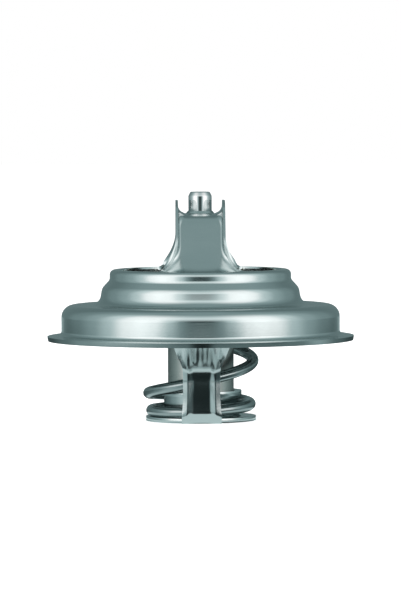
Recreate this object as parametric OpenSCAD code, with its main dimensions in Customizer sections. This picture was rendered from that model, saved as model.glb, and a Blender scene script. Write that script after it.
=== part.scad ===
// Coolant control valve with a wax element, for an engine's cooling circuit.
// A stepped sheet-steel housing carries a bridge that holds the piston. A lower
// frame holds the spring, which presses the valve disc up against the housing.
// The origin is the centre of the flange's underside, and +Z points along the pin.

/* [Housing] */
// Outer diameter of the flange
flange_d = 67; // [64:0.5:76]
// Width of the flange outside the wall
flange_w = 3.1; // [2.6:0.1:5]
// Thickness of the housing's sheet
housing_sheet = 1; // [0.8:0.05:1.2]
// Height of the shoulder over the flange's underside
shoulder_z = 7.8; // [7.2:0.1:8.6]
// Outer diameter of the neck where it leaves the shoulder
neck_d = 44.2; // [43.4:0.1:46]
// Height of the neck's side over the shoulder
neck_rise = 3.8; // [3:0.1:5]
// Outer diameter of the ring round the mouth
ring_d = 39.6; // [38.4:0.1:40.2]
// Height of the seat cone between the neck and the ring
seat_rise = 1.85; // [1.6:0.05:2.4]
// Height of the ring round the mouth
ring_rise = 1.9; // [1.7:0.1:3]
// Diameter of the mouth
mouth_d = 35.2; // [33:0.2:36.4]

/* [Bridge] */
// Height of the fin tips over the flange's underside
overall_top = 30.5; // [28:0.5:36]
// Width over the fins
bridge_w = 10.8; // [9.5:0.1:13]
// Height of the fins over the web
fin_h = 3.1; // [2:0.1:3.6]
// Thickness of the fins
fin_sheet = 0.6; // [0.6:0.05:1]
// Radius inside the channel, between the web and a fin
fin_fillet = 1.6; // [1:0.1:2.2]
// Length of the flat top between its bends
bridge_flat = 14; // [12:0.5:16]
// Width of the bridge where it meets the ring
foot_w = 23.2; // [19:0.2:24]
// Diameter of the raised boss round the piston
boss_d = 5.8; // [5.7:0.1:7]

/* [Piston] */
// Diameter of the piston
piston_d = 5.1; // [4.4:0.1:5.2]
// Height of the piston's end over the web
piston_proud = 5; // [3:0.1:8]
// Diameter of the piston's tip inside the wax element
tip_d = 2.2; // [1.6:0.1:3]
// Length of the taper towards the tip
taper_length = 11; // [8:0.5:13]

/* [Valve disc] */
// Thickness of the disc's sheet
disc_sheet = 1; // [0.8:0.05:1.2]
// Diameter of the flat land that the spring presses on
land_d = 28.4; // [27.4:0.2:31]
// Depth of the land below the seat
disc_depth = 3; // [2.4:0.1:3.6]

/* [Wax element] */
// Outer diameter of the can
can_d = 14.4; // [13:0.1:15]
// Wall of the can
can_wall = 0.8; // [0.6:0.05:1]
// Diameter of the crimped head of the can
head_d = 20.4; // [19.2:0.2:22]
// Thickness of the guide's flange
guide_flange = 1.5; // [1.2:0.1:2.4]
// Height of the guide's nose over its flange
nose_h = 6.9; // [5:0.1:9]
// Diameter of the guide's nose
nose_d = 9; // [8.6:0.1:11]
// Thickness of the rubber boot's flange
boot_flange = 1.6; // [1:0.1:2.4]

/* [Spring] */
// Diameter of the spring wire
wire_d = 2.4; // [1.8:0.1:2.6]
// Outer diameter of the middle coils
spring_d = 25.4; // [24.8:0.2:26.4]
// Outer diameter of the end coils
spring_end_d = 23.8; // [23.4:0.1:24.4]
// Number of turns
turns = 3; // [3:0.5:4]

/* [Lower frame] */
// Depth of the frame below the flange's underside
frame_depth = 17.5; // [15.5:0.5:22]
// Thickness of the frame's sheet
frame_sheet = 1.2; // [1:0.05:1.5]
// Diameter of the base plate
base_d = 24; // [23:0.5:25]
// Height of the guide collar over the base plate
collar_h = 5.9; // [3:0.1:6.5]
// Width of each leg
leg_w = 8.5; // [7:0.1:11]
// Width of each leg where it meets the housing's wall
leg_top_w = 16; // [12:0.5:20]
// Depth of the bead that stiffens each leg
bead_depth = 0.8; // [0.4:0.1:1.1]

/* [Hidden] */
$fn = 96;

// Clearances
slide_gap = 0.04;
rest_gap = 0.05;
collar_gap = 0.1;
seal_gap = 0.2;
spring_gap = 0.3;
can_gap = 0.4;

// Housing
flange_r = flange_d / 2;
wall_r = flange_r - flange_w;
wall_inner_r = wall_r - housing_sheet;
neck_r = neck_d / 2;
neck_lean = 0.6;
neck_top_r = neck_r - neck_lean;
ring_r = ring_d / 2;
mouth_r = mouth_d / 2;
shoulder_rise = 0.1;
seat_low_z = shoulder_z + neck_rise;
seat_high_z = seat_low_z + seat_rise;
mouth_z = seat_high_z + ring_rise;
flange_fillet = 0.8;
wall_corner = 2.4;
neck_fillet = 1.6;
ring_fillet = 0.6;
bend_inside = 0.1;
tight_corner = housing_sheet + bend_inside;

// Bridge
web_z = overall_top - fin_h;
web_middle_z = web_z - housing_sheet / 2;
bridge_half = bridge_w / 2;
foot_half = foot_w / 2;
bridge_bend = 3;
bridge_step = 1.4;
foot_bend_inset = 1.4;
foot_end_inset = 0.5;
foot_reach = ring_r - tight_corner;
foot_sink = 0.12;
foot_z = mouth_z - foot_sink;
foot_sheet = housing_sheet - 2 * foot_sink;
flare_length = 12;
fin_start = 6;
fin_least = 0.06;
fin_tip = 0.5;
fin_round = 0.2;
fin_spread = 0.05;
boss_h = 0.9;
boss_spread = 0.85;
boss_r = boss_d / 2;

// Seat of the valve: the middle of the cone's inner face, and the seal's face below it
seat_dir = unit([ring_r - neck_top_r, seat_rise]);
seat_normal = left_of(seat_dir);
seal_face = [(ring_r + neck_top_r) / 2, (seat_low_z + seat_high_z) / 2]
    + (housing_sheet + seal_gap) * seat_normal;

// Valve disc and its seal
land_z = seal_face.y - disc_depth;
land_r = land_d / 2;
rim_inset = 0.9;
rim_drop = 0.6;
rim_r = seal_face.x - rim_inset;
rim_z = seal_face.y - rim_drop;
dish_bend = 2;
disc_under_z = land_z - disc_sheet;
seal_hold = 1.7;
seal_lip = 0.5;
seal_step = 1.1;
seal_crest = 1;
seal_land_out = 1;
seal_land_in = 0.8;
seal_round = 0.2;

// Wax element
can_r = can_d / 2;
disc_bore_r = can_r + can_gap;
head_r = head_d / 2;
can_lift = 0.9;
can_low_z = can_lift - frame_depth;
can_corner = 1.5;
head_fillet = 0.3;
head_corner = 1;
crimp_w = 2.1;
head_floor_z = land_z + can_wall;
boot_top_z = head_floor_z + boot_flange;
guide_top_z = boot_top_z + guide_flange;
head_top_z = guide_top_z + can_wall;
head_inner_r = head_r - can_wall;
head_fit_r = head_inner_r - rest_gap;
head_fit_edge = 0.3;
nose_r = nose_d / 2;
nose_z = guide_top_z + nose_h;
nose_chamfer = 0.8;
washer_h = 0.8;
washer_inset = 0.3;
washer_r = nose_r - washer_inset;
wiper_h = 1.6;
wiper_depth = 2.4;
wiper_inset = 0.7;
wiper_lip = 0.5;
wiper_low_z = nose_z - wiper_depth;
wiper_r = nose_r - wiper_inset;

// Piston
piston_r = piston_d / 2;
bore_r = piston_r + slide_gap;
tip_r = tip_d / 2;
tip_lift = 6.4;
tip_z = can_low_z + tip_lift;
taper_z = tip_z + taper_length;
piston_top_z = web_z + piston_proud;
piston_chamfer = 0.45;

// Rubber boot
boot_wall = 2;
boot_tip_wall = 2.2;
boot_end = 1.6;
boot_corner = 0.8;
boot_low_z = tip_z - boot_end;

// Lower frame
base_under_z = -frame_depth;
base_top_z = base_under_z + frame_sheet;
base_r = base_d / 2;
collar_bore_r = can_r + collar_gap;
collar_r = collar_bore_r + frame_sheet;
collar_fillet = 0.9;
leg_half = leg_w / 2;
leg_top_half = leg_top_w / 2;
leg_root_r = base_r - 2 * frame_sheet;
leg_out_y = spring_d / 2 + spring_gap + bead_depth + frame_sheet;
leg_foot_bend = 2.6;
leg_knee_bend = 3.2;
leg_tab_bend = 2;
leg_step = 1.1;
knee_z = -6.4;
tab_r = wall_inner_r - rest_gap;
tab_low_z = 2.2;
tab_top_z = shoulder_z - wall_corner;
bead_start = 1.9;
bead_fade = 1.4;
bead_end = 1.5;
bead_end_fade = 5;

// Spring
wire_r = wire_d / 2;
coil_low_z = base_top_z + rest_gap + wire_r;
coil_high_z = disc_under_z - rest_gap - wire_r;
coil_middle_z = (coil_low_z + coil_high_z) / 2;
end_pitch = 1.5 * wire_d;
coil_sides = 12;
stations_per_turn = 24;

// Small helpers for outlines
function unit(v) = v / norm(v);
function left_of(v) = [-v.y, v.x];
function spin(v, a) = [v.x * cos(a) - v.y * sin(a), v.x * sin(a) + v.y * cos(a)];
function reversed(list) = [for (i = [len(list) - 1 : -1 : 0]) list[i]];
function ease(x) = let (t = min(max(x, 0), 1)) t * t * (3 - 2 * t);
function mix(a, b, t) = a + (b - a) * t;

// One rounded corner at b, between a and c
function corner_arc(a, b, c, r, steps) =
    let (u = unit(a - b), v = unit(c - b), half = acos(u * v) / 2,
         centre = b + unit(u + v) * r / sin(half),
         first = b + u * r / tan(half) - centre, last = b + v * r / tan(half) - centre,
         turn = sign(cross(first, last)) * (180 - 2 * half))
    [for (k = [0 : steps]) centre + spin(first, turn * k / steps)];

// A path with its corners rounded by the radii given, 0 leaving a corner sharp
function rounded_path(points, radii, steps = 6) =
    [for (i = [0 : len(points) - 1])
        each radii[i] == 0 ? [points[i]]
            : corner_arc(points[i - 1], points[i], points[i + 1], radii[i], steps)];

// The path moved to its left by a distance, with mitred corners
function path_normal(path, i) =
    let (n = len(path) - 1,
         before = left_of(unit(path[max(i, 1)] - path[max(i, 1) - 1])),
         after = left_of(unit(path[min(i, n - 1) + 1] - path[min(i, n - 1)])),
         middle = unit(before + after))
    middle / (middle * after);
function beside(path, distance) =
    [for (i = [0 : len(path) - 1]) path[i] + distance * path_normal(path, i)];

// The closed outline of a sheet that lies to the left of a path
function sheet_outline(path, thickness) = concat(path, reversed(beside(path, thickness)));

// The path with straight stretches cut into steps
function stepped(path, step) =
    concat([for (i = [0 : len(path) - 2])
        let (a = path[i], b = path[i + 1], n = ceil(norm(b - a) / step))
        for (k = [0 : n - 1]) mix(a, b, k / n)], [path[len(path) - 1]]);

// The distance along the path from its first point to each of its points
function lengths(path, i = 0, sum = 0) =
    i >= len(path) ? [] : concat([sum],
        lengths(path, i + 1, i + 1 < len(path) ? sum + norm(path[i + 1] - path[i]) : sum));

// A closed skin over rings of points. A ring runs along one face of the sheet and
// back along the other, so point k lies across from point n - 1 - k.
module loft(rings) {
    n = len(rings[0]);
    m = len(rings);
    cap = [for (k = [0 : n / 2 - 2]) each [[k, k + 1, n - 2 - k], [k, n - 2 - k, n - 1 - k]]];
    sides = [for (i = [0 : m - 2], k = [0 : n - 1])
        let (a = i * n + k, b = i * n + (k + 1) % n)
        each [[a, b + n, b], [a, a + n, b + n]]];
    polyhedron(
        points = [for (ring = rings) each ring],
        faces = concat(cap, sides, [for (f = cap) [for (k = reversed(f)) k + (m - 1) * n]]),
        convexity = 8);
}

// A round solid turned from an outline
module turned(outline) {
    rotate_extrude() polygon(outline);
}

// Housing: flange, stepped dome and bridge, pressed from one sheet
dome_path = rounded_path(
    [[flange_r, housing_sheet], [wall_r, housing_sheet], [wall_r, shoulder_z],
     [neck_r, shoulder_z + shoulder_rise], [neck_top_r, seat_low_z], [ring_r, seat_high_z],
     [ring_r, mouth_z], [mouth_r, mouth_z]],
    [0, flange_fillet, wall_corner, neck_fillet, tight_corner, ring_fillet, tight_corner, 0]);

// Half of the bridge's path in Y and Z, along the outer face of its web
bridge_half_path = stepped(rounded_path(
    [[foot_end_inset - ring_r, foot_z], [foot_bend_inset - mouth_r, foot_z],
     [-bridge_flat / 2, web_z], [0, web_z]],
    [0, bridge_bend, bridge_bend, 0]), bridge_step);
bridge_path = concat(bridge_half_path,
    [for (p = reversed(bridge_half_path)) if (p.y != 0 && p.x < 0) [-p.x, p.y]]);

function bridge_width_at(s) = mix(bridge_half, foot_half, pow(max(1 - s / flare_length, 0), 2));
function fin_height_at(s) = max(fin_h * ease(s / fin_start), fin_least);
function web_sheet_at(s) = mix(foot_sheet, housing_sheet, ease(s / fin_start));

// The channel's section as distance across and height over the web: along its upper
// face from the left fin's tip to the right one's, and back along its lower face
function channel_section(w, h, sheet) =
    let (inner = min(fin_fillet, 0.65 * h), outer = inner + sheet, round = min(fin_round, h / 4),
         upper = concat(
             [for (a = [0 : 22.5 : 90])
                 [w - fin_sheet - inner + inner * sin(a), inner - inner * cos(a)]],
             [[w - fin_tip, h - round], [w - fin_tip + round, h]]),
         lower = concat(
             [for (a = [90 : -22.5 : 0])
                 [w - outer + outer * cos(a), outer - sheet - outer * sin(a)]],
             [[w, h - round], [w - round, h]]))
    leaning(concat(across(reversed(upper)), upper, reversed(lower), across(lower)), h);
function across(points) = [for (p = points) [-p.x, p.y]];
function leaning(points, h) =
    [for (p = points) p + [sign(p.x) * fin_spread * max(p.y, 0) * h / (fin_h * fin_h), 0]];

module bridge() {
    along = lengths(bridge_path);
    whole = along[len(along) - 1];
    loft([for (i = [0 : len(bridge_path) - 1])
        let (s = min(along[i], whole - along[i]), base = bridge_path[i], up = path_normal(bridge_path, i))
        [for (p = channel_section(bridge_width_at(s), fin_height_at(s), web_sheet_at(s)))
            [p.x, base.x + up.x * p.y, base.y + up.y * p.y]]]);
}

module housing() color([0.70, 0.76, 0.76]) {
    difference() {
        union() {
            turned(sheet_outline(dome_path, housing_sheet));
            intersection() {
                bridge();
                cylinder(r = foot_reach, h = 2 * overall_top);
            }
            turned([[0, web_middle_z], [boss_r + boss_spread, web_middle_z],
                [boss_r + boss_spread, web_z], [boss_r, web_z + boss_h], [0, web_z + boss_h]]);
        }
        translate([0, 0, mouth_z])
            cylinder(r = bore_r, h = overall_top);
    }
}

// Piston: a ground pin fixed in the bridge, with a tapered end in the rubber boot
module piston() color([0.82, 0.83, 0.84]) {
    turned(concat(
        [[0, tip_z]],
        [for (a = [-60 : 30 : 0]) [tip_r * cos(a), tip_z + tip_r + tip_r * sin(a)]],
        [[piston_r, taper_z], [piston_r, piston_top_z - 2 * piston_chamfer],
         [piston_r - piston_chamfer, piston_top_z], [0, piston_top_z]]));
}

// Valve disc: a dished sheet with a hole for the can
disc_path = rounded_path([[disc_bore_r, land_z], [land_r, land_z], [rim_r, rim_z]],
    [0, dish_bend, 0]);
module valve_disc() color([0.66, 0.72, 0.72]) {
    turned(sheet_outline(disc_path, -disc_sheet));
}

// Valve seal: a rubber ring bonded round the disc's rim
module valve_seal() color([0.12, 0.12, 0.13]) {
    along = unit([rim_r - land_r, rim_z - land_z]);
    under = -left_of(along);
    slot_top = [rim_r, rim_z] + rest_gap * (along - under);
    slot_low = [rim_r, rim_z] + rest_gap * along + (disc_sheet + rest_gap) * under;
    turned([
        slot_top - seal_hold * along,
        slot_top - seal_hold * along - seal_lip * under,
        slot_top - seal_step * along - seal_crest * under,
        seal_face + seal_land_out * seat_dir - [seal_lip, 0],
        seal_face + seal_land_out * seat_dir,
        seal_face - seal_land_in * seat_dir,
        seal_face - seal_land_in * seat_dir - seal_round * (seat_dir + [0, 1]),
        slot_low + seal_lip * along + seal_round * under,
        slot_low + seal_lip * under,
        slot_low - seal_hold * along + seal_lip * under,
        slot_low - seal_hold * along,
        slot_low,
        slot_top
    ]);
}

// Wax element: a drawn can, its head crimped over the guide and the boot
can_path = rounded_path(
    [[0, can_low_z], [can_r, can_low_z], [can_r, land_z], [head_r, land_z], [head_r, head_top_z],
     [head_r - crimp_w, head_top_z]],
    [0, can_corner, head_fillet, head_corner, head_corner, 0]);
module wax_can() color([0.62, 0.66, 0.65]) {
    turned(sheet_outline(can_path, can_wall));
}

module guide_body() color([0.72, 0.66, 0.48]) {
    difference() {
        turned([
            [bore_r, boot_top_z], [head_fit_r, boot_top_z], [head_fit_r, guide_top_z - head_fit_edge],
            [head_fit_r - head_fit_edge, guide_top_z], [nose_r, guide_top_z],
            [nose_r, nose_z - nose_chamfer], [nose_r - nose_chamfer, nose_z], [bore_r, nose_z]]);
        translate([0, 0, boot_top_z - washer_h])
            cylinder(r = washer_r, h = 2 * washer_h);
        translate([0, 0, wiper_low_z])
            cylinder(r = wiper_r, h = wiper_h);
    }
}

// Rubber boot: a thick sleeve closed below, which the wax squeezes against the taper
module rubber_boot() color([0.15, 0.15, 0.16]) {
    top_r = piston_r + boot_wall;
    low_r = tip_r + boot_tip_wall;
    turned([
        [0, boot_low_z], [low_r - boot_corner, boot_low_z], [low_r, boot_low_z + boot_corner],
        [top_r, taper_z], [top_r, head_floor_z], [head_fit_r - head_fit_edge, head_floor_z],
        [head_fit_r, head_floor_z + head_fit_edge], [head_fit_r, boot_top_z], [bore_r, boot_top_z],
        [bore_r, taper_z], [tip_r + slide_gap, tip_z + tip_r],
        [tip_r + slide_gap, tip_z - rest_gap], [0, tip_z - rest_gap]]);
}

// Support washer: keeps the boot's rubber out of the gap round the piston
module support_washer() color([0.92, 0.92, 0.90]) {
    turned([[bore_r, boot_top_z], [washer_r - rest_gap, boot_top_z],
        [washer_r - rest_gap, boot_top_z + washer_h - rest_gap],
        [bore_r, boot_top_z + washer_h - rest_gap]]);
}

// Piston wiper: a lip ring in the guide's groove
module piston_wiper() color([0.13, 0.13, 0.14]) {
    low = wiper_low_z + rest_gap;
    high = wiper_low_z + wiper_h - rest_gap;
    outer = wiper_r - rest_gap;
    hollow = bore_r + 0.8 * wiper_lip;
    turned([[outer, low], [outer, high], [bore_r + wiper_lip, high], [bore_r, high - wiper_lip],
        [bore_r, high - 1.6 * wiper_lip], [hollow, low + wiper_lip], [hollow, low]]);
}

// Wax charge: fills the can round the boot
module wax_charge() color([0.86, 0.80, 0.62]) {
    outer = can_r - can_wall - rest_gap;
    low = can_low_z + can_wall;
    corner = can_corner - can_wall + 4 * rest_gap;
    top_r = piston_r + boot_wall + rest_gap;
    low_r = tip_r + boot_tip_wall + rest_gap;
    turned([
        [0, low], [outer - corner, low], [outer, low + corner], [outer, head_floor_z - rest_gap],
        [top_r, head_floor_z - rest_gap], [top_r, taper_z], [low_r, boot_low_z + boot_corner - rest_gap],
        [low_r - boot_corner - rest_gap, boot_low_z - rest_gap], [0, boot_low_z - rest_gap]]);
}

// Spring: close turns at both ends and a long pitch between them, wound right-handed.
// u counts turns from the spring's middle.
half_turns = turns / 2;
active_from = 0.3;
active_to = 0.7;
active_middle = (active_from + active_to) / 2;
shrink_from = 0.6;
long_pitch = ((coil_high_z - coil_low_z) / 2 - end_pitch * (half_turns - active_middle)) / active_middle;
function coil_rise(u) =
    let (v = abs(u), over = v - active_from)
    sign(u) * (v < active_from ? long_pitch * v
        : v < active_to ? long_pitch * v
            - (long_pitch - end_pitch) * over * over / (2 * (active_to - active_from))
        : (long_pitch - end_pitch) * active_middle + end_pitch * v);
function coil_radius(u) =
    mix(spring_d, spring_end_d, ease((abs(u) - shrink_from) / (half_turns - shrink_from))) / 2 - wire_r;
function coil_point(u) =
    let (a = 360 * u) [coil_radius(u) * cos(a), coil_radius(u) * sin(a), coil_middle_z + coil_rise(u)];
function wire_ring(u) =
    let (here = coil_point(u), along = unit(coil_point(u + 0.002) - coil_point(u - 0.002)),
         out = unit([here.x, here.y, 0]), side = unit(cross(along, out)), across = cross(side, along))
    [for (k = [0 : coil_sides - 1])
        let (a = 360 * k / coil_sides) here + wire_r * (cos(a) * across + sin(a) * side)];
module spring() color([0.45, 0.49, 0.49]) {
    last = turns * stations_per_turn;
    loft([for (i = [0 : last]) wire_ring(i / stations_per_turn - half_turns)]);
}

// Lower frame: a base plate with a drawn collar, and two legs that end in tabs
// against the housing's wall. The path runs along the outer face of the front leg.
collar_path = rounded_path(
    [[base_r, base_top_z], [collar_r, base_top_z], [collar_r, base_top_z + collar_h]],
    [0, collar_fillet, 0]);
frame_leg_path = stepped(rounded_path(
    [[-leg_root_r, base_under_z], [-leg_out_y, base_under_z], [-leg_out_y, knee_z],
     [-tab_r, tab_low_z], [-tab_r, tab_top_z]],
    [0, leg_foot_bend, leg_knee_bend, leg_tab_bend, 0]), leg_step);

// The bead's depth across the leg, as a share: 0 at its side and 1 on its floor
bead_side = 0.72;
bead_floor = 0.54;
bead_stops = concat([-1], [for (k = [0 : 3]) -mix(bead_side, bead_floor, k / 3)],
    [for (k = [3 : -1 : 0]) mix(bead_side, bead_floor, k / 3)], [1]);
function bead_across(u) = ease((bead_side - abs(u)) / (bead_side - bead_floor));
function bead_along(p) =
    ease((p.y - base_under_z - bead_start) / bead_fade) * ease((tab_r - bead_end + p.x) / bead_end_fade);
function tab_share(p) = ease((-p.x - leg_out_y) / (tab_r - leg_out_y));
function sagitta(x) = tab_r - sqrt(tab_r * tab_r - x * x);

module frame_leg() {
    loft([for (i = [0 : len(frame_leg_path) - 1])
        let (p = frame_leg_path[i], inward = -path_normal(frame_leg_path, i), share = tab_share(p),
             half = mix(leg_half, leg_top_half, share), bead = bead_depth * bead_along(p),
             faces = [for (sheet = [0, frame_sheet])
                 [for (u = bead_stops)
                     let (depth = bead * bead_across(u) + sheet, x = u * half)
                     [x, p.x + inward.x * depth + share * sagitta(x), p.y + inward.y * depth]]])
        concat(faces[0], reversed(faces[1]))]);
}

module lower_frame() color([0.68, 0.74, 0.74]) {
    turned(sheet_outline(collar_path, frame_sheet));
    frame_leg();
    rotate([0, 0, 180]) frame_leg();
}

housing();
lower_frame();
piston();
valve_disc();
valve_seal();
spring();
wax_can();
guide_body();
rubber_boot();
support_washer();
piston_wiper();
wax_charge();
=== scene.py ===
from math import atan2, ceil, cos, pi, radians, sin, sqrt, tan

import bmesh
import bpy
from bpy.props import FloatProperty, FloatVectorProperty, PointerProperty
from mathutils import Matrix, Quaternion, Vector


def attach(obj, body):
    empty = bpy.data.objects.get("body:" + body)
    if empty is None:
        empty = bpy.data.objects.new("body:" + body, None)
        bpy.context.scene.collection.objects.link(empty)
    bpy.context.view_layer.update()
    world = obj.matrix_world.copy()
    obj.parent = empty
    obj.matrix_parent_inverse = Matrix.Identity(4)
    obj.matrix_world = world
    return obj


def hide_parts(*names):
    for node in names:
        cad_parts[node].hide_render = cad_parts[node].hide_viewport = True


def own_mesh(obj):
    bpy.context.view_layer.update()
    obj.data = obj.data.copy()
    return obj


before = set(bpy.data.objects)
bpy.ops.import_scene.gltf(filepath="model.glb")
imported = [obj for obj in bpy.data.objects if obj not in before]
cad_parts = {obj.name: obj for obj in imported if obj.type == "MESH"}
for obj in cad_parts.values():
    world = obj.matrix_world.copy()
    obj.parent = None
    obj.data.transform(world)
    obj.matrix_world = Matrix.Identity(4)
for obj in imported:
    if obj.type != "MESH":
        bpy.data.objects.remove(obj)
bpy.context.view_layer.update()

bl_info = {
    "name": "Engine thermostat",
    "version": (1, 0, 0),
    "blender": (4, 5, 0),
    "location": "3D View > Sidebar > Thermostat",
    "description": "Dresses a wax thermostat: pressed housing, strap, spring, valve and wax element",
    "category": "Object",
}

# The mesh code below works in millimetres, and each piece is scaled to metres when it is finished.
MM = 0.001
WELD = 0.002
REST_GAP = 0.05
CORNER_CUTS = 8
BEND_TURN = radians(8)
HOUSING_BODY, VALVE_BODY = "housing", "valve"

# Housing: the pressed dome's outer face, from the flange's edge to the mouth
FLANGE_R, FLANGE_EDGE_Z = 33.5, 1.0
WALL_R, WALL_LOW_Z, SHOULDER_Z = 30.4, 1.45, 7.8
NECK_R, NECK_LOW_Z, NECK_TOP_R, NECK_TOP_Z = 22.1, 7.9, 21.5, 11.45
RING_R, RING_LOW_Z = 19.8, 13.3
MOUTH_R, MOUTH_Z = 17.6, 15.5
DOME_PATH = ((FLANGE_R, FLANGE_EDGE_Z), (WALL_R, WALL_LOW_Z), (WALL_R, SHOULDER_Z),
             (NECK_R, NECK_LOW_Z), (NECK_TOP_R, NECK_TOP_Z), (RING_R, RING_LOW_Z),
             (RING_R, MOUTH_Z), (MOUTH_R, MOUTH_Z))
DOME_CORNERS = (0, 0.8, 2.65, 2.2, 2.0, 1.1, 1.1, 0)
DOME_STEPS = 352

# Bridge: a channel that rises from the mouth's edge and carries the piston. Its feet start on
# the mouth's own vertices, so they weld to it.
BRIDGE_COLUMNS = 32
FLAT_COLUMNS, FILLET_COLUMNS = 19, 30
FOOT_SPREAD = 2 * pi * BRIDGE_COLUMNS / DOME_STEPS
FOOT_TOE_IN = radians(50)
FOOT_RISE = radians(26)
FOOT_ROWS = 26
FOOT_MIDDLE_PULLS = (4.0, 12.0)
FOOT_SIDE_PULLS = (6.0, 12.0)
WEB_Z = 27.6
BRIDGE_RUN = ((-11.6, 21.3), (-6.85, WEB_Z), (0.0, WEB_Z))
BRIDGE_BENDS = (0, 5.0, 0)
BRIDGE_STEP = 0.6
CHANNEL_HALF = 4.82
LEG_FILLET, TOP_FILLET = 0.65, 1.9
FILLET_FROM_Z = 25.2
FIN_HEIGHT = 2.95
FIN_SPREAD = 0.04

# Boss round the piston's hole: (radius, height, share of the sheet's thickness). The web is
# cleared for it over a rectangle, whose cut edges lie within a margin.
BOSS_ROWS = ((3.12, 27.72, 0.8), (2.96, 27.88, 0.65), (2.82, 28.08, 0.55), (2.70, 28.22, 0.5),
             (2.61, 28.26, 0.5))
BOSS_FOOT_R, BOSS_FOOT_SHARE = 3.35, 0.95
CLEARED_X, CLEARED_Y, CLEARED_DEPTH = 4.1, 4.0, 0.5
CLEARED_MARGIN = 0.3

# Lower frame: a base plate with a drawn collar, and two legs up to the housing's wall
BASE_R, BASE_UNDER_Z = 12.0, -17.5
COLLAR_R, COLLAR_LIP_R, COLLAR_TOP_Z = 7.35, 8.9, -10.9
BASE_PATH = ((COLLAR_LIP_R, COLLAR_TOP_Z), (COLLAR_R, COLLAR_TOP_Z), (COLLAR_R, BASE_UNDER_Z),
             (BASE_R, BASE_UNDER_Z))
BASE_CORNERS = (0, 0.8, 2.1, 0)
BASE_STEPS = 384
LEG_COLUMNS = 22
LEG_START_Y, LEG_OUT_Y, KNEE_Z = 12.35, 15.0, -6.4
TAB_R, TAB_LOW_Z, TAB_TOP_Z = 29.35, 2.2, 5.4
LEG_RUN = ((-LEG_START_Y, BASE_UNDER_Z), (-LEG_OUT_Y, BASE_UNDER_Z), (-LEG_OUT_Y, KNEE_Z),
           (-TAB_R, TAB_LOW_Z), (-TAB_R, TAB_TOP_Z))
LEG_BENDS = (0, 2.6, 3.2, 2.0, 0)
LEG_STEP = 0.42
LEG_HALF, LEG_FOOT_HALF, LEG_FOOT_RISE = 4.03, 4.32, 6
LEG_SPREAD, LEG_SPREAD_EASE = 0.22, 1.6

# The pocket pressed in a leg. Its side and floor are shares of the leg's half width, START and
# END are distances from the part's axis, and the heights are over the base.
POCKET_DEPTH, POCKET_THINNING = 0.85, 0.25
POCKET_SIDE, POCKET_FLOOR = 0.78, 0.40
POCKET_START, POCKET_FADE_IN = 12.7, 2.2
POCKET_END, POCKET_FADE_OUT = TAB_R - 1.5, 9
POCKET_TOP_SHARE, POCKET_SHALLOW_FROM, POCKET_SHALLOW_OVER = 0.6, 2.6, 6.8

# The crown: a leg's sides, which fall back from the share CROWN_FROM of its half width
CROWN_DEPTH, CROWN_FROM = 0.5, 0.74
CROWN_FADE_IN, CROWN_END, CROWN_FADE_OUT = 2.6, 24, 8

# Ripples across a leg: a wave, and a second one by its share of the depth and of the length
RIPPLE_DEPTH, RIPPLE_LENGTH, RIPPLE_SHIFT = 0.1, 2.0, 0.2
SECOND_RIPPLE_DEPTH, SECOND_RIPPLE_LENGTH = 0.6, 1.7
RIPPLE_START, RIPPLE_FADE_IN = 16, 3

# Share of the frame's sheet that the press leaves in the plate and in the drawn collar, and the
# heights between which the sheet is drawn thin
SHEET_LEFT_PLATE, SHEET_LEFT_COLLAR = 0.92, 0.6
DRAWN_LOW_Z, DRAWN_LOW_FADE = -16.4, 1.6
DRAWN_TOP_Z, DRAWN_TOP_FADE = -11.1, 0.8

# Spring: close turns at both ends and a long pitch between them. COIL_PITCHES gives the pitch by
# turns from the spring's middle.
SPRING_TURNS = 3.5
SPRING_ROWS = 224
SPRING_SIDES = 20
COIL_LOW_Z, COIL_HIGH_Z = -15.25, 6.463
SPRING_R, SPRING_END_R = 12.65, 12.0
SHRINK_FROM, SHRINK_TO = 0.6, 0.95
COIL_PITCHES = ((0, 15.5), (0.3, 15.5), (0.62, 4.4), (1.2, 4.4), (1.4, 0), (1.75, 0))
COIL_NUDGE = 0.002

# Valve: a dished disc with a bonded rubber seal
DISC_BORE_R, LAND_R, LAND_Z = 7.6, 14.2, 8.713
DISC_RIM_R, DISC_RIM_Z = 18.866, 11.113
DISC_PATH = ((DISC_BORE_R, LAND_Z), (LAND_R, LAND_Z), (DISC_RIM_R, DISC_RIM_Z))
DISC_CORNERS = (0, 2, 0)
DISC_SHEET = 1.0
SEAL_FACE = Vector((19.766, 11.713))
SEAT_DIRECTION = Vector((-0.677, 0.736))
SEAL_HOLD, SEAL_STEP, SEAL_LIP = 1.7, 1.1, 0.5
SEAL_LAND_IN, SEAL_ROUND = 0.8, 0.2

# Wax element: the can, the guide in its crimped head, and the wiper in the guide's groove
CAN_R, CAN_LOW_Z, CAN_WALL = 7.2, -16.6, 0.8
BORE_R = 2.6
GUIDE_R, GUIDE_LOW_Z, GUIDE_FLANGE_Z = 9.35, 11.113, 12.613
NOSE_R, NOSE_Z = 4.5, 19.513
GROOVE_R, GROOVE_LOW_Z = 3.8, 17.113
GUIDE_OUTLINE = ((BORE_R, GUIDE_LOW_Z), (GUIDE_R, GUIDE_LOW_Z), (GUIDE_R, GUIDE_FLANGE_Z),
                 (NOSE_R, GUIDE_FLANGE_Z), (NOSE_R, NOSE_Z), (GROOVE_R, NOSE_Z),
                 (GROOVE_R, GROOVE_LOW_Z), (BORE_R, GROOVE_LOW_Z))
GUIDE_CORNERS = (0, 0, 0.3, 0.4, 0.4, 0, 0, 0)
HEAD_R, HEAD_TOP_Z, CRIMP_R = 10.2, GUIDE_FLANGE_Z + CAN_WALL, 8.1
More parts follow.
